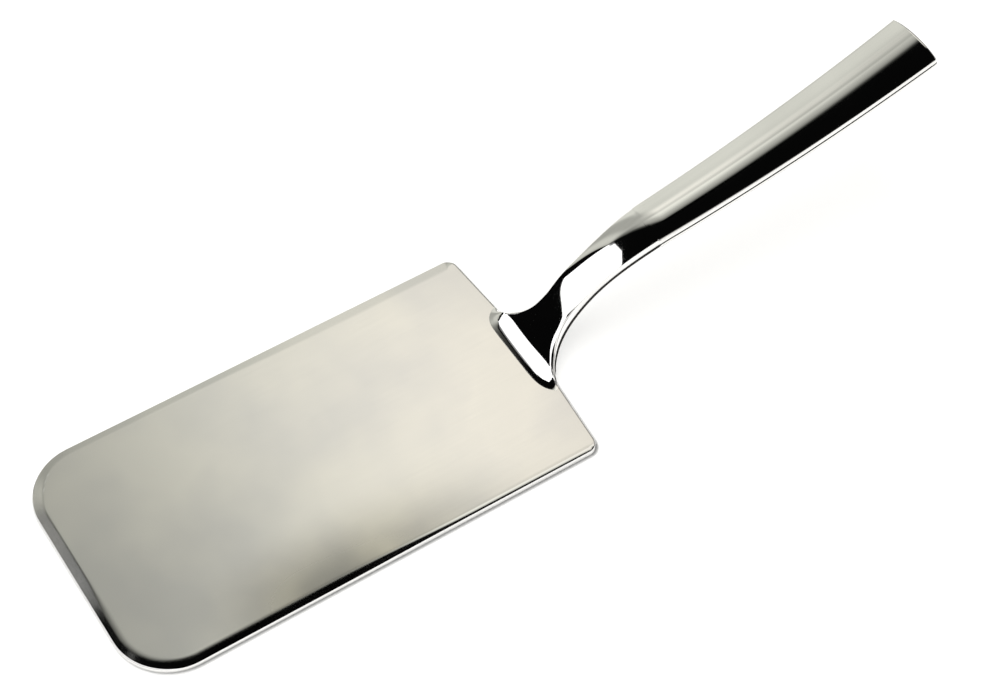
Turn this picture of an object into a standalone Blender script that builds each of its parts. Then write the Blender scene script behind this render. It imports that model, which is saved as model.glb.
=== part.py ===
# Lasagna server: a flat rectangular blade, a rising neck welded to its rear edge and a hollow
# handle of two pressed shells. Metres, +X from the blade's front edge to the handle's end,
# +Z up, Y across. The origin is the middle of the blade's flat underside.
import math

import bmesh
import bpy

mm = 0.001
object_name = "lasagna_server"

# Gap that is kept between two pieces that touch or are welded together.
joint_clearance = 0.3 * mm

# Blade: sheet plate, straight front edge, wide front corners, shoulders that fall back to the neck.
blade_length = 137.4 * mm
blade_width = 76.0 * mm
blade_thickness = 2.2 * mm
front_corner_radius = 16.5 * mm
rear_corner_radius = 2.6 * mm
shoulder_fall = 2.8 * mm
blade_edge_radius = 0.6 * mm

# Line of the neck and handle, followed along their upper side edge.
neck_start_x = 2.3 * mm
neck_start_height = 5.2 * mm
neck_angle = math.radians(50.0)
neck_straight = 8.1 * mm
neck_first_run = 0.6 * mm
neck_bend_radius = 59.4 * mm
handle_angle = math.radians(9.3)
handle_curve_radius = 500.0 * mm
waist_run = 20.0 * mm
collar_run = 45.5 * mm
handle_end_run = 138.3 * mm

# Widths and depths of the neck and handle section: arched top, upright walls, arched underside.
foot_half_width = 15.0 * mm
foot_top_half_width = 12.4 * mm
foot_front_bulge = 1.6 * mm
foot_depth = 1.7 * mm
foot_height = 0.7 * mm
foot_flare = 6.0 * mm
foot_flare_run = 4.9 * mm
waist_half_width = 5.35 * mm
collar_half_width = 6.6 * mm
end_half_width = 8.9 * mm
foot_rise = 0.25 * mm
collar_rise = 2.1 * mm
end_rise = 2.8 * mm
foot_wall = 1.7 * mm
handle_wall = 3.6 * mm
wall_growth_run = 5.0 * mm
under_rise = 0.9 * mm

# Handle shells, their filling and the tang of the neck.
shell_thickness = 0.9 * mm
upper_wall = 1.5 * mm
collar_weld_width = 1.0 * mm
tang_length = 30.0 * mm
tang_half_width = 3.4 * mm
tang_thickness = 1.6 * mm
tang_depth = 0.9 * mm
tang_rise = 0.15 * mm
filler_length = 74.0 * mm
end_plate = 1.6 * mm
end_bulge = 0.2 * mm
end_edge_radius = 0.9 * mm
end_lip = 3.0 * mm

# Fillet weld between the blade and the foot of the neck.
foot_weld_half_width = 13.4 * mm
foot_weld_leg = 2.7 * mm
foot_weld_end_leg = 0.7 * mm
foot_weld_hollow = 0.36
foot_weld_toe = 0.15 * mm

arc_steps = 10
rear_x = blade_length / 2
foot_bottom = blade_thickness + joint_clearance
foot_x = rear_x + shoulder_fall - foot_depth - 2 * joint_clearance
bend_run = neck_bend_radius * (neck_angle - handle_angle)
shell_start_run = collar_run + collar_weld_width + 2 * joint_clearance
shell_end_run = handle_end_run - end_plate - joint_clearance
tang_start_run = collar_run
tang_end_run = collar_run + tang_length


def path_at(run):
    # Position and slope of the side edge, a straight rise, an outward bend and a slow upward sweep.
    if run <= neck_straight:
        angle = neck_angle
        x = run * math.cos(neck_angle)
        z = run * math.sin(neck_angle)
    else:
        angle = max(neck_angle - (run - neck_straight) / neck_bend_radius, handle_angle)
        x = neck_straight * math.cos(neck_angle)
        x += neck_bend_radius * (math.sin(neck_angle) - math.sin(angle))
        z = neck_straight * math.sin(neck_angle)
        z += neck_bend_radius * (math.cos(angle) - math.cos(neck_angle))
    swept = run - neck_straight - bend_run
    if swept > 0:
        angle = handle_angle + swept / handle_curve_radius
        x += handle_curve_radius * (math.sin(angle) - math.sin(handle_angle))
        z += handle_curve_radius * (math.cos(handle_angle) - math.cos(angle))
    return rear_x + neck_start_x + x, neck_start_height + z, angle


def half_width_at(run):
    # Waist, then a soft widening up to the collar, then an even taper to the end.
    taper = (end_half_width - collar_half_width) / (handle_end_run - collar_run)
    if run >= collar_run:
        body = collar_half_width + taper * (run - collar_run)
    else:
        part = max(run - waist_run, 0.0) / (collar_run - waist_run)
        body = waist_half_width
        body += (collar_half_width - waist_half_width) * (3 * part ** 2 - 2 * part ** 3)
        body += taper * (collar_run - waist_run) * (part ** 3 - part ** 2)
    return body + foot_flare * math.exp(-run / foot_flare_run)


def rise_at(run):
    if run < collar_run:
        return foot_rise + (collar_rise - foot_rise) * run / collar_run
    return collar_rise + (end_rise - collar_rise) * (run - collar_run) / (handle_end_run - collar_run)


def wall_at(run):
    return handle_wall - (handle_wall - foot_wall) * math.exp(-run / wall_growth_run)


def arch(half_width, rise, inset):
    # Points of an arch from -Y to +Y, moved inwards by the inset along its own radius.
    radius = (half_width ** 2 + rise ** 2) / (2 * rise)
    centre = rise - radius
    radius -= inset
    reach = math.asin((half_width - inset) / radius)
    points = []
    for step in range(arc_steps + 1):
        turn = reach * (2 * step / arc_steps - 1)
        points.append((radius * math.sin(turn), centre + radius * math.cos(turn)))
    return points


def outline(half_width, wall, top_rise, low_rise, inset=0.0):
    # Closed section: arched top from -Y to +Y, then the arched underside back again.
    top = arch(half_width, top_rise, inset)
    low = arch(half_width, low_rise, inset)
    return top + [(-y, -wall - n) for y, n in low]


def section_at(run, inset=0.0):
    return outline(half_width_at(run), wall_at(run), rise_at(run), under_rise, inset)


def tang_section():
    section = outline(tang_half_width, tang_thickness, tang_rise, tang_rise)
    return [(y, n - tang_depth) for y, n in section]


def tang_pocket_section():
    section = outline(
        tang_half_width + joint_clearance,
        tang_thickness + 2 * joint_clearance,
        tang_rise,
        tang_rise,
    )
    return [(y, n - tang_depth + joint_clearance) for y, n in section]


def placed(place, section):
    # A section stood square to the line of the handle at a place on it.
    x, z, angle = place
    return [(x - n * math.sin(angle), y, z + n * math.cos(angle)) for y, n in section]


def ring(run, section):
    return placed(path_at(run), section)


def bowed_ring(run, section):
    # A section whose middle stands out past its sides, for the curved end of the handle.
    points = []
    for y, n in section:
        bow = end_bulge * (1 - (y / end_half_width) ** 2)
        points += placed(path_at(run + bow), [(y, n)])
    return points


def runs_between(start, stop, steps):
    return [start + (stop - start) * step / steps for step in range(steps + 1)]


def make_material(name, colour, roughness, metallic):
    material = bpy.data.materials.new(name)
    material.use_nodes = True
    shader = material.node_tree.nodes["Principled BSDF"]
    shader.inputs["Base Color"].default_value = (*colour, 1.0)
    shader.inputs["Roughness"].default_value = roughness
    shader.inputs["Metallic"].default_value = metallic
    return material


def add_object(name, mesh_data, material):
    mesh = bpy.data.meshes.new(name)
    bmesh.ops.recalc_face_normals(mesh_data, faces=mesh_data.faces)
    mesh_data.to_mesh(mesh)
    mesh_data.free()
    mesh.materials.append(material)
    mesh.shade_smooth()
    mesh.set_sharp_from_angle(angle=math.radians(30))
    part = bpy.data.objects.new(name, mesh)
    parts.objects.link(part)
    part.parent = root
    return part


def join_rings(mesh_data, rings, closed):
    # Quads between neighbouring rings of points.
    rows = [[mesh_data.verts.new(point) for point in points] for points in rings]
    count = len(rows[0])
    last = count if closed else count - 1
    for row, following in zip(rows, rows[1:]):
        for index in range(last):
            side = (index + 1) % count
            mesh_data.faces.new((row[index], row[side], following[side], following[index]))
    return rows


def solid_loft(name, rings, material):
    # The upper half of each ring runs one way and the lower half back, so an end is closed in strips.
    mesh_data = bmesh.new()
    rows = join_rings(mesh_data, rings, closed=True)
    half = len(rows[0]) // 2
    for row in (rows[0], rows[-1]):
        upper = row[:half]
        lower = row[:half - 1:-1]
        for index in range(half - 1):
            mesh_data.faces.new((upper[index], upper[index + 1], lower[index + 1], lower[index]))
    return add_object(name, mesh_data, material)


def sheet_loft(name, rows, thickness, material):
    # Pressed sheet: the outer face as rows of points, thickened inwards.
    mesh_data = bmesh.new()
    join_rings(mesh_data, rows, closed=False)
    part = add_object(name, mesh_data, material)
    sheet = part.modifiers.new("sheet", "SOLIDIFY")
    sheet.thickness = thickness
    sheet.offset = -1.0
    sheet.use_even_offset = True
    return part


def build_blade(material):
    half_width = blade_width / 2
    corners = [
        (-rear_x, -half_width, front_corner_radius),
        (rear_x, -half_width, rear_corner_radius),
        (rear_x + shoulder_fall, 0.0, 0.0),
        (rear_x, half_width, rear_corner_radius),
        (-rear_x, half_width, front_corner_radius),
    ]
    mesh_data = bmesh.new()
    mesh_data.faces.new([mesh_data.verts.new((x, y, 0.0)) for x, y, radius in corners])
    mesh_data.verts.ensure_lookup_table()
    for corner, (x, y, radius) in zip(list(mesh_data.verts), corners):
        if radius > 0:
            bmesh.ops.bevel(
                mesh_data,
                geom=[corner],
                offset=radius,
                segments=12 if x < 0 else 4,
                profile=0.5,
                affect="VERTICES",
            )
    blade = add_object("blade", mesh_data, material)
    plate = blade.modifiers.new("plate", "SOLIDIFY")
    plate.thickness = blade_thickness
    plate.offset = 1.0
    edge = blade.modifiers.new("rounded_edge", "BEVEL")
    edge.width = blade_edge_radius
    edge.segments = 2
    edge.limit_method = "ANGLE"
    edge.angle_limit = math.radians(60)
    return blade


def build_neck(material):
    pad = outline(foot_half_width, foot_depth, foot_front_bulge, joint_clearance)
    pad_top = outline(foot_top_half_width, foot_depth, foot_front_bulge, joint_clearance)
    upright = math.radians(90)
    rings = [
        placed((foot_x, foot_bottom, upright), pad),
        placed((foot_x, foot_bottom + foot_height, upright), pad_top),
    ]
    rings += [ring(run, section_at(run)) for run in runs_between(neck_first_run, neck_straight, 3)]
    rings += [ring(run, section_at(run)) for run in runs_between(neck_straight, collar_run, 12)[1:]]
    tang = tang_section()
    rings += [ring(run, tang) for run in runs_between(tang_start_run, tang_end_run, 4)]
    return solid_loft("neck", rings, material)


def build_collar_weld(material):
    start = collar_run + joint_clearance
    stop = start + collar_weld_width
    rings = [
        ring(start, section_at(start)),
        ring(stop, section_at(stop)),
        ring(stop, section_at(stop, shell_thickness)),
        ring(start, section_at(start, shell_thickness)),
    ]
    mesh_data = bmesh.new()
    join_rings(mesh_data, rings + rings[:1], closed=True)
    bmesh.ops.remove_doubles(mesh_data, verts=mesh_data.verts, dist=0.01 * mm)
    return add_object("collar_weld", mesh_data, material)


def build_shells(material):
    runs = runs_between(shell_start_run, shell_end_run, 22)
    upper = []
    lower = []
    for run in runs:
        half_width = half_width_at(run)
        wall = wall_at(run)
        top = arch(half_width, rise_at(run), 0.0)
        seam = -upper_wall
        upper.append(ring(run, [(-half_width, seam)] + top + [(half_width, seam)]))
        low = [(y, -wall - n) for y, n in arch(half_width, under_rise, 0.0)]
        seam -= joint_clearance
        lower.append(ring(run, [(half_width, seam)] + low[::-1] + [(-half_width, seam)]))
    sheet_loft("handle_upper_shell", upper, shell_thickness, material)
    sheet_loft("handle_lower_shell", lower, shell_thickness, material)


def build_filler(material):
    inset = shell_thickness + joint_clearance
    start = shell_start_run
    stop = start + filler_length
    pocket = tang_pocket_section()
    rings = [ring(run, pocket) for run in runs_between(tang_end_run + joint_clearance, start, 4)]
    rings += [ring(run, section_at(run, inset)) for run in runs_between(start, stop, 12)]
    solid_loft("handle_filler", rings, material)


def build_end_cap(material):
    inset = shell_thickness + joint_clearance
    lip_start = shell_end_run - end_lip
    plate_start = shell_end_run + joint_clearance
    rings = [
        ring(lip_start, section_at(lip_start, inset)),
        ring(plate_start, section_at(plate_start, inset)),
        ring(plate_start, section_at(plate_start)),
        bowed_ring(handle_end_run - end_edge_radius, section_at(handle_end_run)),
        bowed_ring(handle_end_run, section_at(handle_end_run, end_edge_radius)),
    ]
    solid_loft("handle_end_cap", rings, material)


def build_foot_weld(material):
    radius = (foot_half_width ** 2 + foot_front_bulge ** 2) / (2 * foot_front_bulge)
    low = foot_bottom
    rings = []
    for y in runs_between(-foot_weld_half_width, foot_weld_half_width, 12):
        front = foot_x - foot_front_bulge + radius - math.sqrt(radius ** 2 - y ** 2)
        heel = front - joint_clearance
        nearness = math.cos(math.pi / 2 * y / foot_weld_half_width)
        leg = foot_weld_end_leg + (foot_weld_leg - foot_weld_end_leg) * nearness
        height = foot_height * leg / foot_weld_leg
        middle = heel - leg * foot_weld_hollow
        middle_height = foot_weld_toe + (height - foot_weld_toe) * foot_weld_hollow
        rings.append(
            [
                (heel, y, low + height),
                (middle, y, low + middle_height),
                (heel - leg, y, low + foot_weld_toe),
                (heel - leg, y, low),
                (middle, y, low),
                (heel, y, low),
            ]
        )
    solid_loft("foot_weld", rings, material)


for old in list(bpy.data.objects):
    bpy.data.objects.remove(old, do_unlink=True)

parts = bpy.data.collections.new(object_name)
bpy.context.scene.collection.children.link(parts)
root = bpy.data.objects.new(object_name, None)
parts.objects.link(root)

build_blade(make_material("polished_blade_steel", (0.72, 0.70, 0.66), 0.16, 1.0))
build_neck(make_material("polished_neck_steel", (0.74, 0.73, 0.70), 0.08, 1.0))
build_foot_weld(make_material("polished_foot_weld", (0.72, 0.71, 0.68), 0.12, 1.0))
build_collar_weld(make_material("polished_collar_weld", (0.72, 0.71, 0.68), 0.12, 1.0))
build_shells(make_material("polished_handle_steel", (0.74, 0.73, 0.70), 0.10, 1.0))
build_end_cap(make_material("polished_end_steel", (0.74, 0.73, 0.70), 0.10, 1.0))
build_filler(make_material("handle_cement", (0.45, 0.42, 0.37), 0.9, 0.0))
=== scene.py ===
import math

import bmesh
import bpy
from mathutils import Matrix, Vector


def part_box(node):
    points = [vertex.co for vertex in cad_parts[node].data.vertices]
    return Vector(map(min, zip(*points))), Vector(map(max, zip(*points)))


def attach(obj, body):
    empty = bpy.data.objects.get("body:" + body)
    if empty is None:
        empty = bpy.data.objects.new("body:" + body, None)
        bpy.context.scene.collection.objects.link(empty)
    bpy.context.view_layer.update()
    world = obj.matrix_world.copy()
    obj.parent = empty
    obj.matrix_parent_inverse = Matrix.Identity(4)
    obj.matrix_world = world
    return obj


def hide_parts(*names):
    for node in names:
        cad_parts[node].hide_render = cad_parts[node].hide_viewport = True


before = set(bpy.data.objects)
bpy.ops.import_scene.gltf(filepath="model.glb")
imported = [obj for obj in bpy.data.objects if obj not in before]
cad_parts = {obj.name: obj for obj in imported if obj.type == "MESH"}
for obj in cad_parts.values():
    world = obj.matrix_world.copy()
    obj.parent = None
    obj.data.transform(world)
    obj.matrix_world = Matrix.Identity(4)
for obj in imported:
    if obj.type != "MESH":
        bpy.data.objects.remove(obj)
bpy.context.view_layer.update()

mm = 0.001
mergeDistance = 0.0005 * mm
bladeLow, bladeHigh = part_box("blade")
print("frame loaded:", len(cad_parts), "nodes")


# small helpers

def smoothStep(low, high, value):
    part = min(max((value - low) / (high - low), 0.0), 1.0)
    return part * part * (3 - 2 * part)


def mixed(first, second, part):
    return first + (second - first) * part


def bentGrid(across, along, place):
    # a flat grid of quads, each corner moved to place(across 0..1, along 0..1), which also gives its UV
    bm = bmesh.new()
    bmesh.ops.create_grid(bm, x_segments=across, y_segments=along, size=1.0)
    uvLayer = bm.loops.layers.uv.new("UVMap")
    for face in bm.faces:
        for loop in face.loops:
            loop[uvLayer].uv = ((loop.vert.co.x + 1) / 2, (loop.vert.co.y + 1) / 2)
    for vert in bm.verts:
        vert.co = place((vert.co.x + 1) / 2, (vert.co.y + 1) / 2)
    return bm


def openEdges(bm):
    return [edge for edge in bm.edges if edge.is_boundary]


def mergeDoubles(bm):
    bmesh.ops.remove_doubles(bm, verts=bm.verts, dist=mergeDistance)


def faceOut(bm, upward):
    # an open sheet: its highest face looks up, or its lowest one down
    bmesh.ops.recalc_face_normals(bm, faces=bm.faces)
    turn = 1 if upward else -1
    outer = max(bm.faces, key=lambda face: turn * face.calc_center_median().z)
    if outer.normal.z * turn < 0:
        bmesh.ops.reverse_faces(bm, faces=bm.faces)


def addPiece(name, bm, materials, node, sharp=50.0):
    bm.edges.index_update()
    rims = [edge.index for edge in openEdges(bm)]
    if not rims:
        bmesh.ops.recalc_face_normals(bm, faces=bm.faces)
    mesh = bpy.data.meshes.new(name)
    bm.to_mesh(mesh)
    bm.free()
    for material in materials:
        mesh.materials.append(material)
    mesh.shade_smooth()
    mesh.set_sharp_from_angle(angle=math.radians(sharp))
    for rim in rims:
        mesh.edges[rim].use_edge_sharp = True
    piece = bpy.data.objects.new(name, mesh)
    bpy.context.scene.collection.objects.link(piece)
    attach(piece, "root")
    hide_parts(node)
    print("piece made:", name, len(mesh.polygons), "faces")
    return piece


# finishes

def newMaterial(name):
    material = bpy.data.materials.new(name)
    material.use_nodes = True
    nodes = material.node_tree.nodes
    return material, nodes, material.node_tree.links, nodes["Principled BSDF"]


def feed(links, socket, value):
    # a link from another node, or a plain value
    if isinstance(value, bpy.types.NodeSocket):
        links.new(value, socket)
    else:
        socket.default_value = value


def calculated(nodes, links, operation, *terms):
    step = nodes.new("ShaderNodeMath")
    step.operation = operation
    for index, term in enumerate(terms):
        feed(links, step.inputs[index], term)
    return step.outputs["Value"]


def blended(nodes, links, kind, part, first, second):
    blend = nodes.new("ShaderNodeMix")
    blend.data_type = kind
    links.new(part, blend.inputs["Factor"])
    feed(links, blend.inputs["A"], first)
    feed(links, blend.inputs["B"], second)
    return blend.outputs["Result"]


def tinted(nodes, links, value, dark, pale, low=0.0, high=1.0):
    # dark up to the low value, pale from the high one
    ramp = nodes.new("ShaderNodeValToRGB")
    for element, spot, colour in zip(ramp.color_ramp.elements, (low, high), (dark, pale)):
        element.position = spot
        element.color = (*colour, 1.0)
    links.new(value, ramp.inputs["Fac"])
    return ramp.outputs["Color"]


def noiseTexture(nodes, links, scale, stretch=(1.0, 1.0, 1.0), detail=4.0):
    # noise on the piece's own coordinates, stretched by the given scale on each axis
    coords = nodes.new("ShaderNodeTexCoord")
    mapping = nodes.new("ShaderNodeMapping")
    mapping.inputs["Scale"].default_value = stretch
    links.new(coords.outputs["Object"], mapping.inputs["Vector"])
    texture = nodes.new("ShaderNodeTexNoise")
    texture.inputs["Scale"].default_value = scale
    texture.inputs["Detail"].default_value = detail
    links.new(mapping.outputs["Vector"], texture.inputs["Vector"])
    return texture.outputs["Fac"]


def ranged(nodes, links, value, low, high, fromLow=0.3, fromHigh=0.7):
    # noise mostly lies between the two values that it starts from
    remap = nodes.new("ShaderNodeMapRange")
    remap.inputs["From Min"].default_value = fromLow
    remap.inputs["From Max"].default_value = fromHigh
    remap.inputs["To Min"].default_value = low
    remap.inputs["To Max"].default_value = high
    links.new(value, remap.inputs["Value"])
    return remap.outputs["Result"]


def bumped(nodes, links, height, distance, under=None):
    bump = nodes.new("ShaderNodeBump")
    bump.inputs["Strength"].default_value = 1.0
    bump.inputs["Distance"].default_value = distance
    links.new(height, bump.inputs["Height"])
    if under is not None:
        links.new(under, bump.inputs["Normal"])
    return bump.outputs["Normal"]


cloudEdges = (0.38, 0.62)          # noise values where the dark and the pale tint are reached
grainStretch = (0.03, 1.0, 1.0)    # the grain runs lengthwise
steelDetail = {"cloud": 3.0, "grain": 6.0, "wave": 1.0}


def steelFinish(name, finish):
    # polished stainless: cloudy tint, fine lengthwise grain, hairlines and a slight hand-polished waviness
    material, nodes, links, shader = newMaterial(name)
    shader.inputs["Metallic"].default_value = 1.0
    cloud = noiseTexture(nodes, links, finish["cloudScale"], detail=steelDetail["cloud"])
    colour = tinted(nodes, links, cloud, finish["darkTint"], finish["paleTint"], *cloudEdges)
    grain = noiseTexture(nodes, links, finish["grainScale"], grainStretch, steelDetail["grain"])
    smudge = finish["smudge"]
    gloss = ranged(nodes, links, cloud, finish["roughness"] - smudge, finish["roughness"] + smudge)
    streak = ranged(nodes, links, grain, -finish["grain"], finish["grain"])
    rough = calculated(nodes, links, "ADD", gloss, streak)
    wave = noiseTexture(nodes, links, finish["waveScale"], detail=steelDetail["wave"])
    wobble = bumped(nodes, links, wave, finish["waveDepth"])
    links.new(bumped(nodes, links, grain, finish["hairDepth"], wobble), shader.inputs["Normal"])
    if "satin" in finish:
        # the piece's own polish value, 0 satin to 1 mirror, which also blends in the brighter painted sheen
        # tint
        polishAndSheen = nodes.new("ShaderNodeAttribute")
        polishAndSheen.attribute_name = "polishAndSheen"
        part = polishAndSheen.outputs["Fac"]
        rough = blended(nodes, links, "FLOAT", part, finish["satin"], rough)
        colour = blended(nodes, links, "RGBA", part, colour, (*finish["paintedSheenTint"], 1.0))
    links.new(colour, shader.inputs["Base Color"])
    links.new(rough, shader.inputs["Roughness"])
    return material


# the bright tint that mirror-polished parts take is a painted sheen
bladeSteel = steelFinish("bladeSteel", {
    "darkTint": (0.23, 0.23, 0.213), "paleTint": (0.46, 0.442, 0.362), "paintedSheenTint": (0.88, 0.875, 0.865),
    "cloudScale": 26.0, "roughness": 0.07, "smudge": 0.02, "satin": 0.34,
    "grainScale": 2500.0, "grain": 0.015, "hairDepth": 0.0000001, "waveScale": 30.0, "waveDepth": 0.00001,
})
neckSteel = steelFinish("neckSteel", {
    "darkTint": (0.84, 0.835, 0.825), "paleTint": (0.88, 0.875, 0.865),
    "cloudScale": 60.0, "roughness": 0.04, "smudge": 0.01,
    "grainScale": 2500.0, "grain": 0.008, "hairDepth": 0.00000005, "waveScale": 60.0, "waveDepth": 0.000006,
})
filletSteel = steelFinish("filletSteel", {
    "darkTint": (0.73, 0.725, 0.705), "paleTint": (0.76, 0.755, 0.735), "paintedSheenTint": (0.86, 0.855, 0.845),
    "cloudScale": 60.0, "roughness": 0.04, "smudge": 0.01, "satin": 0.27,
    "grainScale": 2500.0, "grain": 0.008, "hairDepth": 0.00000005, "waveScale": 60.0, "waveDepth": 0.000006,
})
shellSteel = steelFinish("shellSteel", {
    "darkTint": (0.82, 0.815, 0.80), "paleTint": (0.87, 0.865, 0.85),
    "cloudScale": 35.0, "roughness": 0.06, "smudge": 0.01,
    "grainScale": 2500.0, "grain": 0.01, "hairDepth": 0.0000001, "waveScale": 40.0, "waveDepth": 0.00001,
})

# near-black seam colour: tarnish together with painted shade in the groove
seamTarnishAndShadeTone = {
    "scale": 500.0, "dark": (0.010, 0.010, 0.009), "pale": (0.04, 0.038, 0.035), "roughness": (0.45, 0.7),
}
cementTone = {
    "scale": 700.0, "dark": (0.36, 0.33, 0.28), "pale": (0.52, 0.49, 0.43), "roughness": (0.8, 0.95),
    "detail": 8.0, "lumps": 0.1 * mm,
}


def seamTarnishAndShadeFinish(tone):
    # old polish and soot left in the seams, with painted shade: near-black colour standing in for the shade
    # deep in the seam groove
    material, nodes, links, shader = newMaterial("seamTarnishAndShade")
    shader.inputs["Metallic"].default_value = 1.0
    mottle = noiseTexture(nodes, links, tone["scale"])
    links.new(tinted(nodes, links, mottle, tone["dark"], tone["pale"]), shader.inputs["Base Color"])
    links.new(ranged(nodes, links, mottle, *tone["roughness"]), shader.inputs["Roughness"])
    return material


def cementFinish(tone):
    material, nodes, links, shader = newMaterial("handleCement")
    grit = noiseTexture(nodes, links, tone["scale"], detail=tone["detail"])
    links.new(tinted(nodes, links, grit, tone["dark"], tone["pale"]), shader.inputs["Base Color"])
    links.new(ranged(nodes, links, grit, *tone["roughness"]), shader.inputs["Roughness"])
    links.new(bumped(nodes, links, grit, tone["lumps"]), shader.inputs["Normal"])
    return material


seamTarnishAndShade = seamTarnishAndShadeFinish(seamTarnishAndShadeTone)
handleCement = cementFinish(cementTone)
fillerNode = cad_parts["handle_filler"]
fillerNode.data.materials.clear()
fillerNode.data.materials.append(handleCement)
print("finishes made:", len(bpy.data.materials))


# blade: sheet plate with wide front corners, its front edge ground to a bevel and its sides rolled off

bladeShape = {
    "frontCorner": 16.5 * mm,
    "rearCorner": 3.2 * mm,
    "tipCorner": 2.0 * mm,
    "leastCorner": 0.05 * mm,     # what a corner's radius keeps when it is set in
    "shoulder": 2.8 * mm,
    # margins: their width, the part of it over which the slope sets in, and the slope
    "bevel": {"width": 3.3 * mm, "ease": 0.5 * mm, "slope": math.radians(12.0)},     # front, far half
    "nose": {"width": 3.6 * mm, "ease": 2.2 * mm, "slope": math.radians(10.5)},      # front, near half
    "roll": {"width": 3.0 * mm, "ease": 1.2 * mm, "slope": math.radians(17.0)},      # near side, front half
    "rollRear": {"width": 2.0 * mm, "ease": 1.6 * mm, "slope": math.radians(17.5)},
    "farSide": {"width": 2.4 * mm, "ease": 0.5 * mm, "slope": math.radians(5.0)},    # far side, front half
    "farRear": {"width": 3.4 * mm, "ease": 0.8 * mm, "slope": math.radians(2.2)},
    "rear": {"width": 0.6 * mm, "ease": 0.4 * mm, "slope": math.radians(11.0)},
    "noseFade": (0.000, -0.018),  # Y where the front margin changes
    "rollFade": (-0.015, 0.030),  # X where the side margin starts and ends narrowing
    # how far a corner faces forward, or back, where the front or rear margin starts and has taken over
    "nearTurn": (0.10, 0.80),
    "farTurn": (0.40, 1.0),
    "rearTurn": (0.30, 0.95),
    "edgeRound": 0.35 * mm,
    "footRound": 0.25 * mm,
    "marginRun": 26.0 * mm,       # how far in the rings round the flat go
    "crowding": 2.0,              # the rings stand closer together near the edge
}
bladePolishAndSheen = {
    "flat": 0.63,
    "rolled": (0.2, 0.65),        # shares of a margin's width over which it turns mirror-smooth with the painted sheen tint
    "nearSide": (0.15, 0.6),      # how far an edge faces the near side, and the front, when it takes the mirror polish and painted sheen tint
    "noseSide": (0.85, 0.99),
    "noseLeast": 0.3,
    "lineSide": (0.2, 0.6),
    "lineWidth": 0.6,             # half width of the burnished line against the margin's easing
    # painted shade along the middle of the near side of the flat
    "paintedShadeSide": (0.5, 0.9),
    "paintedShadeReach": (25.0 * mm, 1.0 * mm),
    "paintedShadeFront": (-0.054, -0.018),    # X where the painted shade starts and is full, from the front and the rear
    "paintedShadeRear": (0.056, -0.012),
    "paintedShadeDepth": 0.52,
}
outlineSteps = {"front": 28, "rear": 10, "tip": 2, "side": 40}
bladeSteps = {"margin": 64, "edge": 6, "wall": 2, "foot": 5, "under": 1}
stepSlack = 0.001                 # for rounding, in steps
bladeTop = bladeHigh.z
rearX = bladeHigh.x - bladeShape["shoulder"]


def bladeStations(shape):
    # places round the outline: a corner with a part of its arc, or a share of the straight run after it
    spots = [
        (bladeLow.x, bladeLow.y, shape["frontCorner"], outlineSteps["front"]),
        (rearX, bladeLow.y, shape["rearCorner"], outlineSteps["rear"]),
        (bladeHigh.x, 0.0, shape["tipCorner"], outlineSteps["tip"]),
        (rearX, bladeHigh.y, shape["rearCorner"], outlineSteps["rear"]),
        (bladeLow.x, bladeHigh.y, shape["frontCorner"], outlineSteps["front"]),
    ]
    corners = []
    for index, (x, y, radius, steps) in enumerate(spots):
        apex = Vector((x, y))
        inward = (apex - Vector(spots[index - 1][:2])).normalized()
        onward = (Vector(spots[(index + 1) % len(spots)][:2]) - apex).normalized()
        first = Vector((inward.y, -inward.x))
        second = Vector((onward.y, -onward.x))
        miter = -(first + second) / (1 + first.dot(second))
        corners.append({"apex": apex, "radius": radius, "steps": steps, "first": first,
                        "turn": first.angle_signed(second), "miter": miter})
    stations = []
    cuts = outlineSteps["side"]
    for index, corner in enumerate(corners):
        stations += [(corner, step / corner["steps"], corner, 0.0) for step in range(corner["steps"] + 1)]
        following = corners[(index + 1) % len(corners)]
        stations += [(corner, 1.0, following, cut / cuts) for cut in range(1, cuts)]
    return stations + stations[:1]


def cornerSpot(corner, part, inset):
    # a point of a corner's arc, set in from the outline, and the direction that it faces
    radius = max(corner["radius"] - inset, bladeShape["leastCorner"])
    turned = corner["first"].copy()
    turned.rotate(Matrix.Rotation(-corner["turn"] * part, 2))
    return corner["apex"] + corner["miter"] * (inset + radius) + turned * radius, turned


def stationSpot(station, inset):
    corner, part, following, share = station
    spot, facing = cornerSpot(corner, part, inset)
    if share:
        spot = spot.lerp(cornerSpot(following, 0.0, inset)[0], share)
    return spot, facing


def marginAt(spot, facing, shape):
    # the margin's width, easing and slope for a place on the outline
    near = facing.y < 0
    part = smoothStep(*shape["rollFade"], spot.x)
    front = smoothStep(*shape["nearTurn" if near else "farTurn"], -facing.x)
    rear = smoothStep(*shape["rearTurn"], facing.x)
    turned = smoothStep(*shape["noseFade"], spot.y)
    first, last = ("roll", "rollRear") if near else ("farSide", "farRear")
    margin = {}
    for key in shape["bevel"]:
        side = mixed(shape[first][key], shape[last][key], part)
        nose = mixed(shape["bevel"][key], shape["nose"][key], turned)
        margin[key] = mixed(mixed(side, nose, front), shape["rear"][key], rear)
    return margin


def marginDrop(margin, inset):
    depth = max(margin["width"] - inset, 0.0)
    ease = margin["ease"]
    fall = depth ** 2 / (2 * ease) if depth < ease else depth - ease / 2
    return fall * math.tan(margin["slope"])


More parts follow.
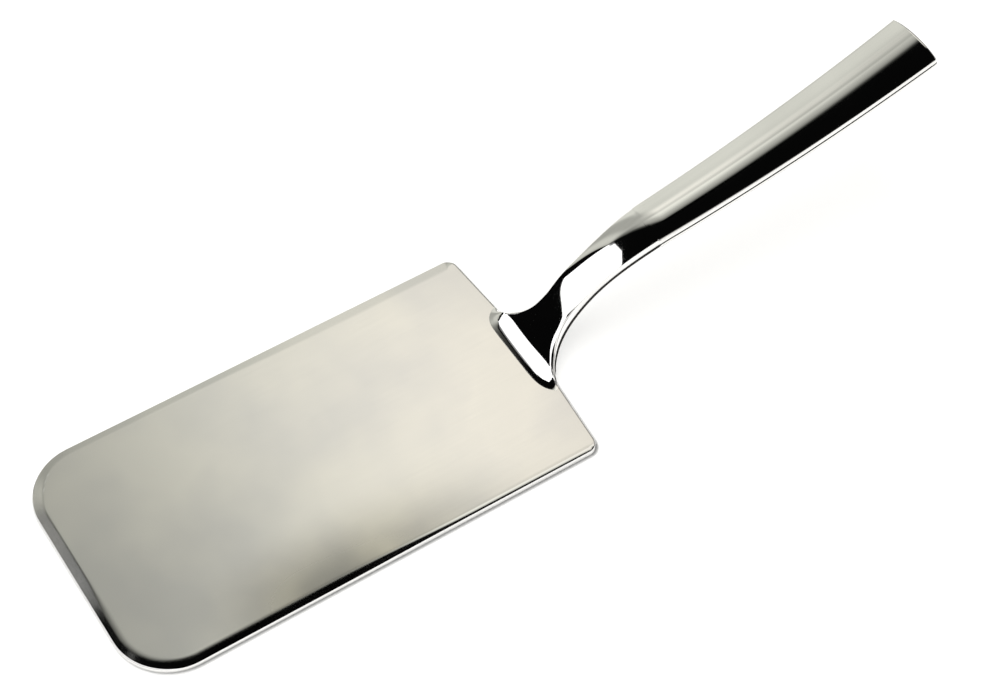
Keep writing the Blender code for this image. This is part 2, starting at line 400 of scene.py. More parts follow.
def bladePolishAndSheenAt(spot, facing, margin, inset, polishAndSheen=bladePolishAndSheen):
    # 0 satin to 1 mirror with the brighter painted sheen tint, set in from a place on the outline
    depth = margin["width"] - inset
    turned = smoothStep(*bladeShape["noseFade"], spot.y)
    rolled = smoothStep(*(share * margin["width"] for share in polishAndSheen["rolled"]), depth)
    nose = mixed(polishAndSheen["noseLeast"], 1.0, turned) * smoothStep(*polishAndSheen["noseSide"], -facing.x)
    near = max(smoothStep(*polishAndSheen["nearSide"], -facing.y), nose)
    # a burnished line where the bevel starts, mirror-smooth and painted with the brighter sheen tint
    line = max(1 - abs(depth / margin["ease"] - polishAndSheen["lineWidth"]) / polishAndSheen["lineWidth"], 0.0)
    line *= smoothStep(*polishAndSheen["lineSide"], -facing.x) * (1 - turned)
    # painted shade: darker and duller along the middle of the near side
    paintedShade = smoothStep(*polishAndSheen["paintedShadeReach"], inset) * smoothStep(*polishAndSheen["paintedShadeSide"], -facing.y)
    paintedShade *= smoothStep(*polishAndSheen["paintedShadeFront"], spot.x) * smoothStep(*polishAndSheen["paintedShadeRear"], spot.x)
    return max(polishAndSheen["flat"] - polishAndSheen["paintedShadeDepth"] * paintedShade, rolled * near, line)


def makeBlade(shape):
    stations = bladeStations(shape)
    total = sum(bladeSteps.values())
    thick = bladeHigh.z - bladeLow.z
    widest = shape["marginRun"]

    def place(across, along):
        station = stations[round(across * (len(stations) - 1))]
        margin = marginAt(*stationSpot(station, 0.0), shape)
        left = along * total
        for name, count in bladeSteps.items():
            if left <= count + stepSlack:
                break
            left -= count
        part = left / count
        lean = margin["slope"]
        edgeInset = shape["edgeRound"] * (1 - math.sin(lean))
        edgeZ = thick - marginDrop(margin, edgeInset)
        if name == "margin":
            inset = mixed(edgeInset, widest, (1 - part) ** shape["crowding"])
            z = thick - marginDrop(margin, inset)
        elif name == "edge":
            turn = mixed(lean, math.pi / 2, part)
            inset = shape["edgeRound"] * (1 - math.sin(turn))
            z = edgeZ - shape["edgeRound"] * (math.cos(lean) - math.cos(turn))
        elif name == "wall":
            inset = 0.0
            z = mixed(edgeZ - shape["edgeRound"] * math.cos(lean), shape["footRound"], part)
        elif name == "foot":
            turn = part * math.pi / 2
            inset = shape["footRound"] * (1 - math.cos(turn))
            z = shape["footRound"] * (1 - math.sin(turn))
        else:
            inset = mixed(shape["footRound"], widest, part)
            z = 0.0
        spot = stationSpot(station, inset)[0]
        return Vector((spot.x, spot.y, bladeLow.z + z))
    bm = bentGrid(len(stations) - 1, total, place)
    # satin on the flat and its front, far and rear margins, mirror-smooth and painted with the brighter
    # sheen tint on the near roll and the wall
    polishAndSheen = bm.verts.layers.float.new("polishAndSheen")
    uvLayer = bm.loops.layers.uv.active
    for face in bm.faces:
        for loop in face.loops:
            across, along = loop[uvLayer].uv
            ring = along * total / bladeSteps["margin"]
            inset = widest * (1 - min(ring, 1.0)) ** shape["crowding"]
            spot, facing = stationSpot(stations[round(across * (len(stations) - 1))], 0.0)
            margin = marginAt(spot, facing, shape)
            loop.vert[polishAndSheen] = bladePolishAndSheenAt(spot, facing, margin, inset) if ring <= 1 else 1.0
    mergeDoubles(bm)
    bmesh.ops.holes_fill(bm, edges=openEdges(bm), sides=0)
    addPiece("blade_plate", bm, [bladeSteel], "blade")


makeBlade(bladeShape)


# line of the neck and handle along their side edge, and the section that is carried along it

lineShape = {
    "startX": rearX + 2.3 * mm,
    "startZ": 5.2 * mm,
    "neckAngle": math.radians(50.0),
    "straight": 8.1 * mm,
    "bendRadius": 59.4 * mm,
    "handleAngle": math.radians(9.3),
    "sweepRadius": 500.0 * mm,
    "filletTop": 0.6 * mm,          # run where the straight neck starts to curve into the blade
    "fillet": [(21.8, 11.2), (19.0, 32.0)],    # slope in degrees down to which each radius in mm holds
    "softening": 0.6 * mm,          # each change of curve is eased over this much of the line
    "taps": 9,                      # slopes that are averaged for it
    "step": 0.25 * mm,
    "overrun": 2.0 * mm,            # what is walked past both ends
    "collar": 45.5 * mm,
    "collarWidth": 1.0 * mm,
    "plate": 1.6 * mm,
    "end": 137.95 * mm,
}


def slopeAt(run, line=lineShape):
    neckAngle = line["neckAngle"]
    below = line["filletTop"] - run
    if below > 0:
        slope = neckAngle
        for degrees, radius in line["fillet"]:
            bottom = math.radians(degrees)
            reach = (slope - bottom) * radius * mm
            if below < reach:
                return slope - below / (radius * mm)
            below -= reach
            slope = bottom
        return slope
    bend = max(neckAngle - max(run - line["straight"], 0.0) / line["bendRadius"], line["handleAngle"])
    swept = run - line["straight"] - line["bendRadius"] * (neckAngle - line["handleAngle"])
    return bend + max(swept, 0.0) / line["sweepRadius"]


def easedSlope(run, line=lineShape):
    taps = line["taps"]
    return sum(slopeAt(run + line["softening"] * (2 * tap / (taps - 1) - 1)) for tap in range(taps)) / taps


toeRun = lineShape["filletTop"]
filletSlope = lineShape["neckAngle"]
for degrees, radius in lineShape["fillet"]:
    toeRun -= (filletSlope - math.radians(degrees)) * radius * mm
    filletSlope = math.radians(degrees)


def walkLine(line=lineShape):
    # places along the line, stepped both ways from the middle of the straight neck
    middle = line["straight"] / 2
    x = line["startX"] + middle * math.cos(line["neckAngle"])
    z = line["startZ"] + middle * math.sin(line["neckAngle"])
    places = {0: (x, z)}
    step = line["step"]
    for direction, reach in ((1, line["end"] - middle), (-1, middle - toeRun)):
        px, pz = x, z
        for count in range(1, int((reach + line["overrun"]) / step) + 2):
            slope = easedSlope(middle + direction * (count - 0.5) * step)
            px += direction * step * math.cos(slope)
            pz += direction * step * math.sin(slope)
            places[direction * count] = (px, pz)
    return middle, places


lineMiddle, linePlaces = walkLine()


def lineAt(run, line=lineShape):
    spot = (run - lineMiddle) / line["step"]
    low = math.floor(spot)
    part = spot - low
    x0, z0 = linePlaces[low]
    x1, z1 = linePlaces[low + 1]
    return mixed(x0, x1, part), mixed(z0, z1, part), easedSlope(run)


toeLift = bladeTop - lineAt(toeRun)[1]    # what the fillet lacks to land on the blade
print("fillet toe at", round((lineAt(toeRun)[0] - rearX) / mm, 2), "mm, lift", round(toeLift / mm, 3))


barShape = {
    "footWidth": 11.35 * mm,     # half widths
    "footSpread": 6.2 * mm,
    "flare": 6.0 * mm,
    "flareRun": 4.9 * mm,
    "waist": 5.35 * mm,
    "waistRun": 20.0 * mm,
    "collarWidth": 6.6 * mm,
    "endWidth": 8.9 * mm,
    "leastRise": 0.02 * mm,      # height of the arch over the side edge
    "footRise": 0.25 * mm,
    "collarRise": 2.1 * mm,
    "endRise": 2.7 * mm,
    "riseLead": 1.2,             # the neck's arch rises this much faster at first
    "riseKnee": 0.6,             # and slows down from this share of the neck
    "riseEase": 1.05,
    "footWall": 1.7 * mm,
    "wall": 3.6 * mm,
    "wallRun": 5.0 * mm,
    "underRise": 0.9 * mm,
    "neckSeam": 1.95 * mm,       # depth of the seam line below the side edge
    "shellSeam": 1.3 * mm,
    "neckGap": 1.25 * mm,        # width of the seam line along the neck and between the shells
    "shellGap": 0.55 * mm,
    "seamDepth": 0.15 * mm,
    "shellDrop": 0.72 * mm,      # the shells' near edge hangs this much lower than the neck's
    "shellStep": 0.12 * mm,      # and both of their sides stand out by this
    "bow": (3.4 * mm, 4.2 * mm),  # how far the toe's near and far ends curve back
    "bowPower": (6.0, 8.0),
    "bowEnd": 0.6 * mm,
    "feather": 0.92,             # share of the half width where the foot starts to thin out
    "featherEnd": 1.0 * mm,
    "skin": 0.02 * mm,           # least height of the foot over the blade
    "rearGap": 0.3 * mm,         # what the foot keeps clear of the blade's rear edge
    "rearLean": 1.2,             # and how far it leans back over it with its height
    "footEdge": 2.2 * mm,        # rounding of the side edge at the foot, the collar and along the handle
    "collarEdge": 0.3 * mm,
    "handleEdge": 0.22 * mm,
    "edgeLimit": 0.53,           # most that the rounding takes of the wall
    "neckHeel": 0.35 * mm,       # rounding of the lower edge
    "shellHeel": 1.25 * mm,
}
dropPower = {"arch": 6, "edge": 6, "heel": 2, "under": 2}    # how the drop fades towards the middle
sectionSteps = {"arch": 22, "edge": 7, "upperWall": 3, "groove": 4, "lowerWall": 2, "heel": 6, "under": 10}
halfSteps = sum(sectionSteps.values())
topSides = sectionSteps["arch"] + sectionSteps["edge"]
upperSides = topSides + sectionSteps["upperWall"]
lowerSides = upperSides + sectionSteps["groove"]
footSplit = -4.2 * mm            # run where the foot fillet ends and the bar starts
rowCrowding = 1.4                # rows stand closer together towards the collar


def halfWidthAt(run, bar=barShape, line=lineShape):
    taper = (bar["endWidth"] - bar["collarWidth"]) / (line["end"] - line["collar"])
    if run < 0:
        lead = bar["flare"] / bar["flareRun"] / bar["footSpread"]
        return bar["footWidth"] + bar["footSpread"] * math.tanh(-run * lead)
    if run >= line["collar"]:
        body = bar["collarWidth"] + taper * (run - line["collar"])
    else:
        reach = line["collar"] - bar["waistRun"]
        part = max(run - bar["waistRun"], 0.0) / reach
        body = bar["waist"] + (bar["collarWidth"] - bar["waist"]) * (3 * part ** 2 - 2 * part ** 3)
        body += taper * reach * (part ** 3 - part ** 2)
    return body + bar["flare"] * math.exp(-run / bar["flareRun"])


def riseAt(run, bar=barShape, line=lineShape):
    if run < 0:
        return bar["footRise"] * smoothStep(toeRun, 0.0, run)
    if run < line["collar"]:
        part = run / line["collar"]
        slowed = bar["riseEase"] * max(part - bar["riseKnee"], 0.0) ** 2
        return mixed(bar["footRise"], bar["collarRise"], bar["riseLead"] * (part - slowed))
    return mixed(bar["collarRise"], bar["endRise"], (run - line["collar"]) / (line["end"] - line["collar"]))


def sectionAt(run, edge, bar=barShape):
    # what sectionPoint needs to know about the bar at a run
    wall = bar["wall"] - (bar["wall"] - bar["footWall"]) * math.exp(-max(run, 0.0) / bar["wallRun"])
    share = wall / bar["wall"]
    shell = smoothStep(lineShape["collar"], lineShape["collar"] + lineShape["collarWidth"], run)
    return {
        "half": halfWidthAt(run) + bar["shellStep"] * shell,
        "rise": max(riseAt(run), bar["leastRise"]),
        "drop": bar["shellDrop"] * shell,
        "wall": wall,
        "under": bar["underRise"],
        "edge": min(edge, bar["edgeLimit"] * wall),
        "heel": share * mixed(bar["neckHeel"], bar["shellHeel"], shell),
        "seam": share * mixed(bar["neckSeam"], bar["shellSeam"], shell),
        "gap": share * mixed(bar["neckGap"], bar["shellGap"], shell),
    }


def archPoint(half, rise, corner, part):
    # crown to side edge along the arch, which ends where the rounded corner starts
    radius = (half ** 2 + rise ** 2) / (2 * rise)
    reach = math.asin((half - corner) / (radius - corner))
    return radius * math.sin(reach * part), rise - radius + radius * math.cos(reach * part)


def cornerPoint(half, rise, corner, part):
    radius = (half ** 2 + rise ** 2) / (2 * rise)
    reach = math.asin((half - corner) / (radius - corner))
    centreZ = rise - radius + (radius - corner) * math.cos(reach)
    turn = mixed(reach, math.pi / 2, part)
    return half - corner + corner * math.sin(turn), centreZ + corner * math.cos(turn)


def sectionPoint(section, side, sign, grooveDepth):
    # side counts steps from the crown, down one side, to the middle of the underside; n is the height
    # square to the line
    left = side
    for name, count in sectionSteps.items():
        if left <= count:
            break
        left -= count
    part = left / count
    half = section["half"]
    wall = section["wall"]
    top = cornerPoint(half, section["rise"], section["edge"], 1.0)[1]
    bottom = -wall - cornerPoint(half, section["under"], section["heel"], 1.0)[1]
    seam = -section["seam"]
    y = half
    if name == "arch":
        y, n = archPoint(half, section["rise"], section["edge"], part)
    elif name == "edge":
        y, n = cornerPoint(half, section["rise"], section["edge"], part)
    elif name == "upperWall":
        n = mixed(top, seam, part)
    elif name == "groove":
        y = half - grooveDepth * math.sin(math.pi * part)
        n = seam - section["gap"] * part
    elif name == "lowerWall":
        n = mixed(seam - section["gap"], bottom, part)
    else:
        bend = cornerPoint if name == "heel" else archPoint
        y, n = bend(half, section["under"], section["heel"], 1 - part)
        n = -wall - n
    if sign < 0:
        n -= section["drop"] * (y / half) ** dropPower.get(name, 0)
    return y, n


def barPoint(run, section, side, sign, grooveDepth=0.0, bar=barShape):
    # a point of the bar's skin in space; the foot bows back and thins out towards its ends
    y, n = sectionPoint(section, side, sign, grooveDepth)
    x, z, slope = lineAt(run)
    out = y / section["half"]
    z += toeLift * (1 - smoothStep(toeRun, lineShape["filletTop"], run))
    height = z + n * math.cos(slope)
    thin = (1 - smoothStep(footSplit, bar["featherEnd"], run)) * smoothStep(bar["feather"], 1.0, out)
    height = max(mixed(height, bladeTop, thin), bladeTop + bar["skin"])
    end = 0 if sign < 0 else 1
    x += bar["bow"][end] * (1 - smoothStep(toeRun, bar["bowEnd"], run)) * out ** bar["bowPower"][end]
    x -= n * math.sin(slope)
    if run < bar["featherEnd"]:
        rearEdge = bladeHigh.x - bladeShape["shoulder"] * y / bladeHigh.y - bar["rearGap"]
        x = min(x, rearEdge + bar["rearLean"] * (height - bladeTop))
    return Vector((x, sign * y, height))


def tarnishAndShadeGroove(bm):
    # the second material, tarnish with painted shade, on the strip of faces inside the seam line
    uvLayer = bm.loops.layers.uv.active
    for face in bm.faces:
        across = sum(loop[uvLayer].uv.x for loop in face.loops) / len(face.loops)
        side = halfSteps * abs(2 * across - 1)
        face.material_index = 1 if upperSides < side < lowerSides else 0


# neck: solid bar from the foot to the collar, with the tang behind it

neckShape = {
    "tangLength": 30.0 * mm,
    "tangWidth": 0.5,          # tang against the bar's section
    "tangDepth": 0.25,
    "grooveStart": (1.0 * mm, 6.0 * mm),
    "edgeStart": (-6.0 * mm, 8.0 * mm),    # runs over which the side edge gets its rounding
    "edgeFade": (9.0 * mm, 24.0 * mm),     # and sharpens towards the collar
    "along": 130,
}
filletShape = {
    "along": 44,
    "polishAndSheen": (-0.05, 0.2),    # from the toe, where it turns mirror-smooth and takes the brighter painted sheen tint
    "bed": 0.2,                # height of its underside over the blade, against the foot's least height
}


def neckEdgeAt(run, shape=neckShape):
    edge = mixed(barShape["footEdge"], barShape["collarEdge"], smoothStep(*shape["edgeFade"], run))
    return edge * smoothStep(*shape["edgeStart"], run)


def neckGrooveAt(run, shape=neckShape):
    return barShape["seamDepth"] * smoothStep(*shape["grooveStart"], run)


def makeNeck(shape, line=lineShape):
    # the whole section carried from the foot to the collar, the grid closed along the underside
    def place(across, part):
        run = mixed(line["collar"], footSplit, (1 - part) ** rowCrowding)
        side = halfSteps * abs(2 * across - 1)
        sign = -1 if across < 0.5 else 1
        return barPoint(run, sectionAt(run, neckEdgeAt(run)), side, sign, neckGrooveAt(run))
    bm = bentGrid(2 * halfSteps, shape["along"], place)
    tarnishAndShadeGroove(bm)
    mergeDoubles(bm)
    ends = bmesh.ops.holes_fill(bm, edges=openEdges(bm), sides=0)["faces"]
    bmesh.ops.recalc_face_normals(bm, faces=bm.faces)
    rear = max(ends, key=lambda face: face.calc_center_median().x)
    slope = lineAt(line["collar"])[2]
    centre = rear.calc_center_median()
    turn = Matrix.Rotation(-slope, 4, "Y")
    toFlat = turn.inverted() @ Matrix.Translation(-centre)
    shrink = Matrix.Diagonal((1.0, shape["tangWidth"], shape["tangDepth"], 1.0))
    # step in to the tang, then draw it out along the handle
    stepped = bmesh.ops.extrude_discrete_faces(bm, faces=[rear])["faces"][0]
    bmesh.ops.transform(bm, matrix=toFlat.inverted() @ shrink @ toFlat, verts=list(stepped.verts))
    drawn = bmesh.ops.extrude_discrete_faces(bm, faces=[stepped])["faces"][0]
    reach = Vector((math.cos(slope), 0.0, math.sin(slope))) * shape["tangLength"]
    bmesh.ops.translate(bm, verts=list(drawn.verts), vec=reach)
    addPiece("neck_bar", bm, [neckSteel, seamTarnishAndShade], "neck")


def makeFootFillet(shape):
    # the hollow sheet of the fillet, let down flat on to the blade
    def place(across, part):
        run = mixed(toeRun, footSplit, part)
        side = topSides * abs(2 * across - 1)
        return barPoint(run, sectionAt(run, neckEdgeAt(run)), side, -1 if across < 0.5 else 1)
    bm = bentGrid(2 * topSides, shape["along"], place)
    polishAndSheen = bm.verts.layers.float.new("polishAndSheen")
    uvLayer = bm.loops.layers.uv.active
    for face in bm.faces:
        for loop in face.loops:
            loop.vert[polishAndSheen] = smoothStep(*shape["polishAndSheen"], loop[uvLayer].uv.y)
    lowered = bmesh.ops.extrude_face_region(bm, geom=list(bm.faces), use_keep_orig=True)["geom"]
    for vert in [item for item in lowered if isinstance(item, bmesh.types.BMVert)]:
        vert.co.z = bladeTop + shape["bed"] * barShape["skin"]
    addPiece("foot_fillet", bm, [filletSteel], "foot_weld")


makeNeck(neckShape)
makeFootFillet(filletShape)


# handle: collar ring, two pressed shells and the end cap

collarShape = {
    "rows": 8,
    "inward": 0.15,              # how far its inside lies towards the middle
}
shellShape = {
    "sheet": 0.9 * mm,
    "rimRound": 0.08 * mm,
    "rimSteps": 2,
    "along": 120,
}
capShape = {
    "endRound": 0.6 * mm,
    "endInset": 0.45 * mm,
    "endBulge": 0.1 * mm,
    "endSkew": 0.4 * mm,         # the end is cut a little out of square
    "sideShare": 0.2,            # shares of the rows where the side and the rounding end
    "roundShare": 0.55,
    "cleanShare": 0.1,           # rows before the flat end that the seam's tarnish and painted shade leave clean
    "along": 40,
}
shellStart = lineShape["collar"] + lineShape["collarWidth"]
shellStop = lineShape["end"] - lineShape["plate"]


def makeCollar(shape, line=lineShape):
    # ring of weld between neck and shells, its outside carried round to a smaller inside
    rows = shape["rows"]
    total = 2 * rows + 1

    def place(across, part):
        row = round(total * part)
        inside = row > rows
        run = mixed(line["collar"], shellStart, (total - row if inside else row) / rows)
        reached = smoothStep(line["collar"], shellStart, run)
        section = sectionAt(run, mixed(barShape["collarEdge"], barShape["handleEdge"], reached))
        side = (2 * across - 1) * halfSteps
        spot = barPoint(run, section, abs(side), 1 if side > 0 else -1, barShape["seamDepth"])
        if inside:
            middle = barPoint(run, section, 0, 1).lerp(barPoint(run, section, halfSteps, 1), 0.5)
            spot = spot.lerp(middle, shape["inward"])
        return spot
    bm = bentGrid(2 * halfSteps, total, place)
    tarnishAndShadeGroove(bm)
    mergeDoubles(bm)
    bmesh.ops.bridge_loops(bm, edges=openEdges(bm))
    addPiece("collar_ring", bm, [neckSteel, seamTarnishAndShade], "collar_weld")


def makeShell(name, node, firstSide, lastSide, shape=shellShape):
    # an open trough of the section between two side counts, thickened inwards, its seam rims rounded
    def place(across, part):
        run = mixed(shellStart, shellStop, part ** rowCrowding)
        section = sectionAt(run, barShape["handleEdge"])
        if firstSide == 0:
            side = (2 * across - 1) * lastSide
            return barPoint(run, section, abs(side), 1 if side > 0 else -1)
        side = lastSide - abs(2 * across - 1) * (lastSide - firstSide)
        return barPoint(run, section, side, 1 if across > 0.5 else -1)
    bm = bentGrid(2 * (lastSide - firstSide), shape["along"], place)
    faceOut(bm, upward=firstSide == 0)
    weight = bm.edges.layers.float.new("bevel_weight_edge")
    for edge in openEdges(bm):
        first, second = edge.verts
        length = first.co - second.co
        edge[weight] = 1.0 if abs(length.x) > abs(length.y) + abs(length.z) else 0.0
    piece = addPiece(name, bm, [shellSteel], node)
    sheet = piece.modifiers.new("sheet", "SOLIDIFY")
    sheet.thickness = shape["sheet"]
    sheet.offset = -1.0
    sheet.use_even_offset = True
    rim = piece.modifiers.new("rim", "BEVEL")
    rim.width = shape["rimRound"]
    rim.segments = shape["rimSteps"]
    rim.limit_method = "WEIGHT"


def makeEndCap(shape, line=lineShape):
    below = barShape["wall"] + barShape["underRise"]
    middleN = (barShape["endRise"] - below) / 2
    halfHeight = (barShape["endRise"] + below) / 2
    sideShare = shape["sideShare"]
    roundShare = shape["roundShare"]

    def place(across, part):
        side = halfSteps * abs(2 * across - 1)
        sign = -1 if across < 0.5 else 1
        turn = min(max((part - sideShare) / (roundShare - sideShare), 0.0), 1.0) * math.pi / 2
        run = mixed(shellStop, line["end"] - shape["endRound"], min(part / sideShare, 1.0))
        run += shape["endRound"] * math.sin(turn)
        section = sectionAt(run, barShape["handleEdge"])
        inset = shape["endInset"] * (1 - math.cos(turn))
        inward = max(part - roundShare, 0.0) / (1 - roundShare)
        y, n = sectionPoint(section, side, sign, barShape["seamDepth"])
        y *= mixed(1 - inset / section["half"], 0.0, inward)
        n = middleN + (n - middleN) * mixed(1 - inset / halfHeight, 0.0, inward)
        # the sides fall back a little from the middle of the end
        out = y / section["half"]
        fallBack = shape["endBulge"] * out ** 2 + shape["endSkew"] * sign * out
        run -= fallBack * smoothStep(0.0, roundShare, part)
        x, z, slope = lineAt(run)
        return Vector((x - n * math.sin(slope), sign * y, z + n * math.cos(slope)))
    bm = bentGrid(2 * halfSteps, shape["along"], place)
    tarnishAndShadeGroove(bm)
    uvLayer = bm.loops.layers.uv.active
    for face in bm.faces:
        if min(loop[uvLayer].uv.y for loop in face.loops) > roundShare - shape["cleanShare"]:
            face.material_index = 0
    mergeDoubles(bm)
    bmesh.ops.holes_fill(bm, edges=openEdges(bm), sides=0)
    addPiece("end_cap", bm, [shellSteel, seamTarnishAndShade], "handle_end_cap")


makeCollar(collarShape)
makeShell("upper_shell", "handle_upper_shell", 0, upperSides)
makeShell("lower_shell", "handle_lower_shell", lowerSides, halfSteps)
makeEndCap(capShape)


# studio: pale floor, soft panels, camera at the photograph's angle

def stageSheet(name, bm, material):
    mesh = bpy.data.meshes.new(name)
    bm.to_mesh(mesh)
    bm.free()
    mesh.materials.append(material)
    sheet = bpy.data.objects.new(name, mesh)
    bpy.context.scene.collection.objects.link(sheet)
    return sheet


floorShape = {
    "radius": 4.0,
    "segments": 64,
    "gap": 0.02 * mm,            # below the blade
    "colour": (0.94, 0.935, 0.92),
    "roughness": 0.9,
    "glow": (1.0, 0.998, 0.985),
    "samples": 6,
    # how the glow goes dark close to the object: how far off, towards which side, and how strong it is
    "seen": {"reach": 1.2 * mm, "facing": (-0.75, 0.45, 0.48), "dark": (0.02, 0.02, 0.02),
             "ends": (0.64, 0.92), "share": 0.72},
    "mirrored": {"reach": 60.0 * mm, "facing": (0.0, 0.0, 1.0), "dark": (0.20, 0.20, 0.19),
                 "ends": (0.45, 0.82), "share": 0.6},
}


def floorFinish(shape):
    material, nodes, links, shader = newMaterial("paleFloor")
    shader.inputs["Base Color"].default_value = (*shape["colour"], 1.0)
    shader.inputs["Roughness"].default_value = shape["roughness"]
    output = nodes["Material Output"]
    glow = nodes.new("ShaderNodeEmission")
    glow.inputs["Strength"].default_value = 1.0
    path = nodes.new("ShaderNodeLightPath")
    glossy = path.outputs["Is Glossy Ray"]
    mirrored = calculated(nodes, links, "ADD", glossy, path.outputs["Is Transmission Ray"])

    def shaded(side):
        # pale, going dark where the object stands close over the floor, on the side away from the light
        toLight = nodes.new("ShaderNodeCombineXYZ")
        for axis, value in zip("XYZ", side["facing"]):
            toLight.inputs[axis].default_value = value
        crease = nodes.new("ShaderNodeAmbientOcclusion")
        crease.samples = shape["samples"]
        crease.inputs["Distance"].default_value = side["reach"]
        links.new(toLight.outputs["Vector"], crease.inputs["Normal"])
        return tinted(nodes, links, crease.outputs["AO"], side["dark"], shape["glow"], *side["ends"])

    tone = blended(nodes, links, "RGBA", mirrored, shaded(shape["seen"]), shaded(shape["mirrored"]))
    links.new(tone, glow.inputs["Color"])
    seenShare = calculated(nodes, links, "MULTIPLY", path.outputs["Is Camera Ray"], shape["seen"]["share"])
    mirrorShare = calculated(nodes, links, "MULTIPLY", mirrored, shape["mirrored"]["share"])
    blend = nodes.new("ShaderNodeMixShader")
    links.new(calculated(nodes, links, "ADD", seenShare, mirrorShare), blend.inputs["Fac"])
    links.new(shader.outputs["BSDF"], blend.inputs[1])
    links.new(glow.outputs["Emission"], blend.inputs[2])
    links.new(blend.outputs["Shader"], output.inputs["Surface"])
    return material


def makeFloor(shape):
    bm = bmesh.new()
    bmesh.ops.create_circle(bm, cap_ends=True, segments=shape["segments"], radius=shape["radius"])
    bmesh.ops.translate(bm, verts=bm.verts, vec=(0.0, 0.0, bladeLow.z - shape["gap"]))
    stageSheet("floor", bm, floorFinish(shape))


def panelCurve(nodes, links, value, stops):
    ramp = nodes.new("ShaderNodeFloatCurve")
    curve = ramp.mapping.curves[0]
    for index, (spot, level) in enumerate(stops):
        if index < 2:
            curve.points[index].location = (spot, level)
        else:
            curve.points.new(spot, level)
    for point in curve.points:
        point.handle_type = "AUTO_CLAMPED"
    ramp.mapping.update()
    links.new(value, ramp.inputs["Value"])
    return ramp.outputs["Value"]


creaseScale = 9.0
creaseDetail = 3.0


def panelFinish(name, panel):
    # emission that follows ramps across the panel's foot, middle and top, mixed with the height
    material, nodes, links, shader = newMaterial(name)
    nodes.remove(shader)
    output = nodes["Material Output"]
    glow = nodes.new("ShaderNodeEmission")
    coords = nodes.new("ShaderNodeTexCoord")
    split = nodes.new("ShaderNodeSeparateXYZ")
    links.new(coords.outputs["UV"], split.inputs["Vector"])
    across = split.outputs["X"]
    up = split.outputs["Y"]

    def curved(value, key):
        return panelCurve(nodes, links, value, panel[key])

    (low, firstTone), (high, lastTone) = panel["tones"]
    height = curved(up, "blend")
    tone = tinted(nodes, links, across, firstTone, lastTone, low, high)
    colour = blended(nodes, links, "RGBA", height, (*firstTone, 1.0), tone)
    links.new(colour, glow.inputs["Color"])
    level = blended(nodes, links, "FLOAT", height, curved(across, "low"), curved(across, "high"))
    level = blended(nodes, links, "FLOAT", curved(up, "topBlend"), level, curved(across, "top"))
    # the panel's upper edge runs aslant
    aslant = calculated(nodes, links, "MULTIPLY_ADD", across, -panel["fadeSlant"], up)
    level = calculated(nodes, links, "MULTIPLY", level, curved(aslant, "fade"))
    # creased cloth
    cloth = nodes.new("ShaderNodeTexNoise")
    cloth.inputs["Scale"].default_value = creaseScale
    cloth.inputs["Detail"].default_value = creaseDetail
    links.new(coords.outputs["UV"], cloth.inputs["Vector"])
    crease = ranged(nodes, links, cloth.outputs["Fac"], 1 - panel["crease"], 1 + panel["crease"])
    level = calculated(nodes, links, "MULTIPLY", level, crease)
    level = calculated(nodes, links, "MULTIPLY", level, panel["strength"])
    links.new(level, glow.inputs["Strength"])
    links.new(glow.outputs["Emission"], output.inputs["Surface"])
    return material


panelRows = 23
leanRow = 10      # the far panel leans from this row up


def makePanel(name, panel):
    # a flat sheet from its lower left corner, its upper part sheared, with its own width and height as UV
    def place(across, along):
        lean = max(along - panel["leanStart"], 0.0)
        height = along * mixed(panel["taper"], 1.0, across)
        corner = Vector(panel["corner"]) + Vector(panel["right"]) * across + Vector(panel["up"]) * height
        return corner + Vector(panel["lean"]) * lean
    sheet = stageSheet(name, bentGrid(1, panelRows, place), panelFinish(name, panel))
    sheet.visible_camera = False
    sheet.visible_shadow = False


# stops of a curve: its two ends first, then what lies between them
even = [(0.0, 1.0), (1.0, 1.0)]
white = [(0.0, (1.0, 1.0, 1.0)), (1.0, (1.0, 1.0, 1.0))]
cream = [(0.0, (1.0, 0.99, 0.97)), (1.0, (1.0, 0.985, 0.95))]
upright = {
    "lean": (0.0, 0.0, 0.0), "leanStart": 1.0, "taper": 1.0,
    "low": even, "high": even, "blend": even,
    "top": even, "topBlend": [(0.0, 0.0), (1.0, 0.0)], "fade": even, "fadeSlant": 0.0,
}
farPanel = {
    "corner": (-0.42, 1.8, 0.0), "right": (2.65, 0.0, 0.0), "up": (0.0, -2.07, 2.3),
    "lean": (1.29, 0.0, 0.0), "leanStart": leanRow / panelRows, "taper": 1.0,
    "tones": [(0.17, (0.995, 1.0, 0.91)), (0.30, (1.0, 0.955, 0.88))], "strength": 1.3, "crease": 0.05,
    "low": [(0.0, 0.0), (1.0, 0.09), (0.022, 0.46), (0.06, 0.52), (0.138, 0.32), (0.20, 0.33),
            (0.26, 0.58), (0.32, 0.59), (0.40, 0.44), (0.60, 0.14)],
    "high": [(0.0, 0.0), (1.0, 0.05), (0.09, 0.27), (0.125, 0.35), (0.16, 0.385), (0.20, 0.55),
             (0.27, 0.94), (0.31, 1.0), (0.36, 0.80), (0.43, 0.40), (0.60, 0.10)],
    "blend": [(0.0, 0.0), (1.0, 1.0), (0.39, 0.0), (0.53, 1.0)],
    "top": [(0.0, 0.0), (1.0, 0.05), (0.03, 0.05), (0.06, 0.22), (0.08, 0.30), (0.12, 0.41),
            (0.15, 0.60), (0.18, 0.74), (0.22, 0.80), (0.45, 0.37)],
    "topBlend": [(0.0, 0.0), (1.0, 1.0), (0.535, 0.0), (0.60, 1.0)],
    "fadeSlant": 0.8,
    "fade": [(0.0, 1.0), (1.0, 0.0), (0.577, 1.0), (0.687, 0.87), (0.737, 0.73), (0.787, 0.52),
             (0.827, 0.18), (0.857, 0.0)],
}
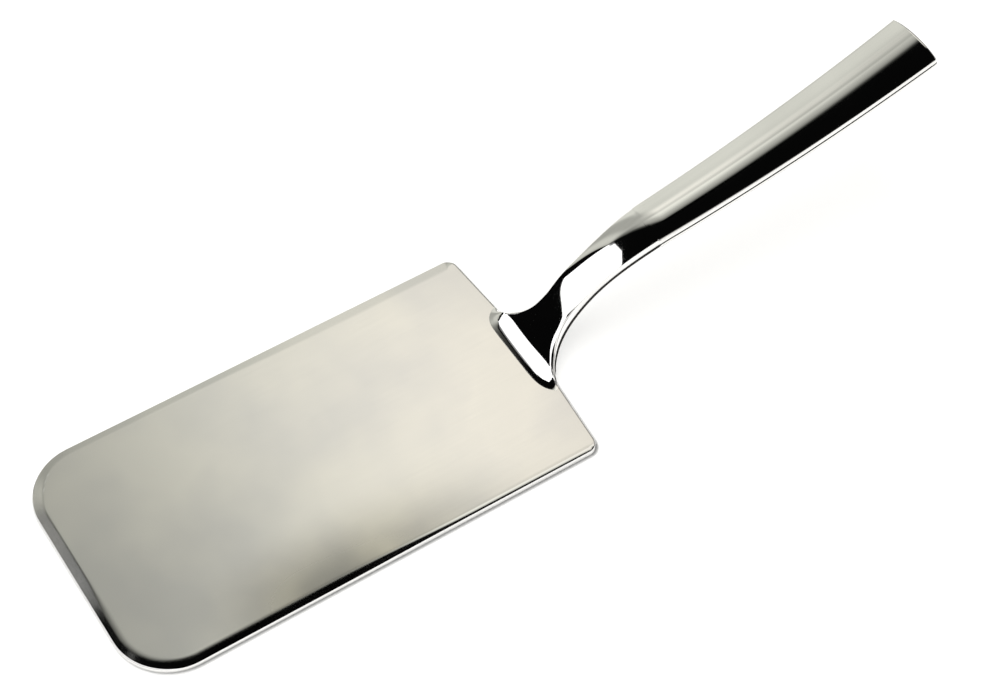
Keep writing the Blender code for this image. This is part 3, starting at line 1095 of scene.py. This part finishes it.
leftPanel = {
    **upright, "corner": (-0.5, -0.1, 0.265), "right": (0.0, 1.1, 0.0), "up": (0.0, 0.0, 1.15),
    "tones": white, "strength": 1.5, "crease": 0.0,
    "high": [(0.0, 1.0), (1.0, 0.15), (0.72, 1.0), (0.85, 0.18)],
    "blend": [(0.0, 0.0), (1.0, 1.0), (0.78, 0.0), (0.90, 1.0)],
}
leftWing = {
    **upright, "corner": (-0.5, -2.0, 0.265), "right": (0.0, 1.9, 0.0), "up": (0.0, 0.0, 1.15),
    "tones": white, "strength": 1.5, "crease": 0.0, "taper": 0.3,
}
nearPanel = {
    **upright, "corner": (-0.8, -1.2, 0.10), "right": (1.7, 0.0, 0.0), "up": (0.0, 0.0, 0.50),
    "tones": cream, "strength": 1.2, "crease": 0.04, "fade": [(0.0, 1.0), (1.0, 0.0), (0.6, 0.9)],
}
rightPanel = {
    **upright, "corner": (1.2, -0.7, 0.15), "right": (0.0, 1.3, 0.0), "up": (0.0, 0.0, 0.8),
    "tones": cream, "strength": 0.3, "crease": 0.04, "fade": [(0.0, 1.0), (1.0, 0.2), (0.6, 0.9)],
}
cornerPanel = {
    **upright, "corner": (0.9, -1.2, 0.10), "right": (0.3, 0.5, 0.0), "up": (0.0, 0.0, 0.65),
    "tones": cream, "strength": 0.7, "crease": 0.04, "fade": [(0.0, 1.0), (1.0, 0.2), (0.6, 0.9)],
}
panels = {
    "far_panel": farPanel, "left_panel": leftPanel, "left_wing": leftWing,
    "near_panel": nearPanel, "right_panel": rightPanel, "corner_panel": cornerPanel,
}
makeFloor(floorShape)
for name, panel in panels.items():
    makePanel(name, panel)

lampPlace = {"location": (-0.25, 0.05, 1.45), "size": 1.5, "energy": 34.0}


def makeLamp(place):
    light = bpy.data.lights.new("softLamp", "AREA")
    light.shape = "DISK"
    light.size = place["size"]
    light.energy = place["energy"]
    lamp = bpy.data.objects.new("soft_lamp", light)
    lamp.location = place["location"]
    lamp.rotation_euler = lamp.location.to_track_quat("Z", "Y").to_euler()
    lamp.visible_glossy = False
    bpy.context.scene.collection.objects.link(lamp)


makeLamp(lampPlace)

worldTone = (0.002, 0.002, 0.002)
world = bpy.data.worlds.new("studio")
world.use_nodes = True
world.node_tree.nodes["Background"].inputs["Color"].default_value = (*worldTone, 1.0)
bpy.context.scene.world = world

cameraPlace = {
    "location": (-0.1434, -0.3225, 0.5299),
    "tilt": 36.18,
    "turn": -32.42,
    "lens": 85.16,
    "sensor": 36.0,
    "clipStart": 0.01,
}
cameraData = bpy.data.cameras.new("camera")
cameraData.sensor_fit = "HORIZONTAL"
cameraData.sensor_width = cameraPlace["sensor"]
cameraData.lens = cameraPlace["lens"]
cameraData.clip_start = cameraPlace["clipStart"]
camera = bpy.data.objects.new("camera", cameraData)
camera.location = cameraPlace["location"]
camera.rotation_euler = (math.radians(cameraPlace["tilt"]), 0.0, math.radians(cameraPlace["turn"]))
bpy.context.scene.collection.objects.link(camera)
bpy.context.scene.camera = camera
bpy.context.scene.view_settings.view_transform = "Standard"
print("studio set")
